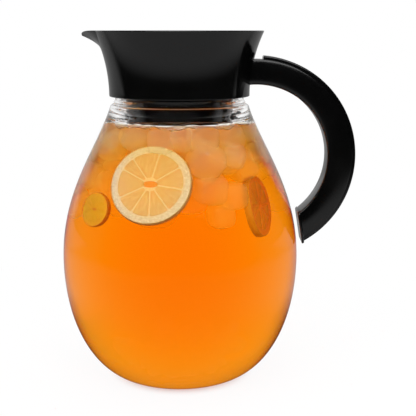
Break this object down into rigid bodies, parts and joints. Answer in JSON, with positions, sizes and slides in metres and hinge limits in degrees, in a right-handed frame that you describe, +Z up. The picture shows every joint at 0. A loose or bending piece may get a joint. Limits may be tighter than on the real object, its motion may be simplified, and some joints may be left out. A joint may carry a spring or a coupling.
{
  "type": "iced tea maker",
  "caption": "Clear egg-shaped iced tea pitcher with a black screw-on pouring collar, a C-shaped handle, a hinged lid and a lift-out mesh brew basket.",
  "frame": {"origin": "centre of the jug's flat underside, where it stands on the table", "axes": "+Z up along the jug's axis, -X towards the spout, +X towards the handle"},
  "size_m": [0.2076, 0.168, 0.247],
  "materials": {
    "clear_copolyester": "clear, polished",
    "black_abs": "high gloss",
    "black_polypropylene": "satin",
    "silicone": "matte",
    "nylon_mesh": "fine weave",
    "stainless_steel": "plain"
  },
  "bodies": {
    "jug": {"jug": "clear_copolyester"},
    "neck_gasket": {"neck_gasket": "silicone"},
    "collar": {"collar": "black_abs", "handle_shell": "black_abs", "handle_cover": "black_abs", "handle_end_cap": "black_abs", "handle_screw_left": "stainless_steel", "handle_screw_right": "stainless_steel"},
    "insert": {"basket_carrier": "black_polypropylene", "carrier_seal": "silicone", "lid_hinge_pin": "stainless_steel"},
    "lid": {"lid": "black_abs", "lid_grip": "black_polypropylene", "lid_seal": "silicone"},
    "basket": {"basket_frame": "black_polypropylene", "basket_mesh": "nylon_mesh", "basket_floor_mesh": "nylon_mesh"}
  },
  "joints": [
    {"name": "collar_rise", "type": "slide", "parent": "jug", "child": "neck_gasket", "axis": [0, 0, 1], "range_m": [0, 0.00275]},
    {"name": "collar_turn", "type": "hinge", "parent": "neck_gasket", "child": "collar", "pos_m": [0, 0, 0.21], "axis": [0, 0, 1], "range_deg": [0, 60]},
    {"name": "insert_lift", "type": "slide", "parent": "collar", "child": "insert", "axis": [0, 0, 1], "range_m": [0, 0.065]},
    {"name": "lid_open", "type": "hinge", "parent": "insert", "child": "lid", "pos_m": [0.0497, 0, 0.242], "axis": [0, 1, 0], "range_deg": [0, 100]},
    {"name": "basket_twist", "type": "hinge", "parent": "insert", "child": "basket", "pos_m": [0, 0, 0.23], "axis": [0, 0, 1], "range_deg": [0, 30]}
  ],
  "couplings": [
    {"joint": "collar_rise", "follows": "collar_turn", "m_per_rad": 0.0026261}
  ]
}
